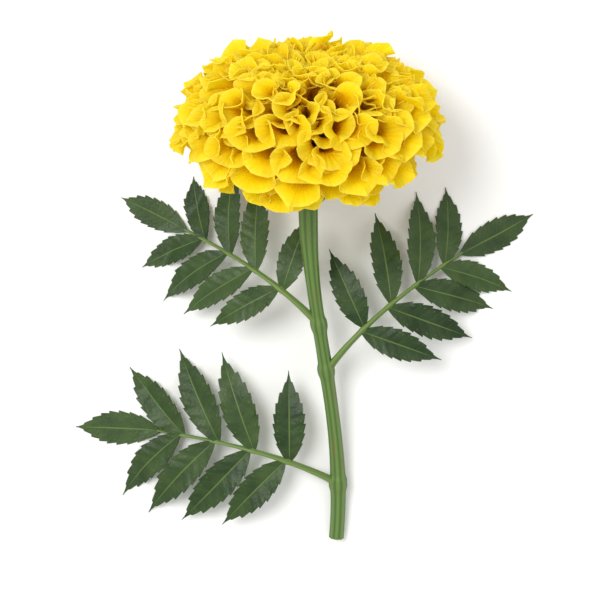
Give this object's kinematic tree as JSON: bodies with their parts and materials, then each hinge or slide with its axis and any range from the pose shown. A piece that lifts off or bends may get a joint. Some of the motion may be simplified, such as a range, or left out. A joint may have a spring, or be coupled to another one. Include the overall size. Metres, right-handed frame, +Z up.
{
  "type": "african marigold flower",
  "caption": "Picked double marigold lying on its side: a domed head of ruffled yellow florets in a green cup, on a short stem with pinnate leaves.",
  "frame": {"origin": "middle of the flower's footprint, on the surface that it lies on", "axes": "+Y along the lying stem towards the head, +Z up from the surface, +X to the right when seen from above with the head at the far end"},
  "size_m": [0.1619, 0.169, 0.0858],
  "materials": {
    "petals": "satin",
    "cup": "satin",
    "stem": "satin",
    "leaf": "matte"
  },
  "bodies": {
    "root": {"bloom": "petals", "involucre": "cup", "stem": "stem", "leaf_left": "leaf", "leaf_right": "leaf", "leaf_lower": "leaf"}
  },
  "joints": []
}
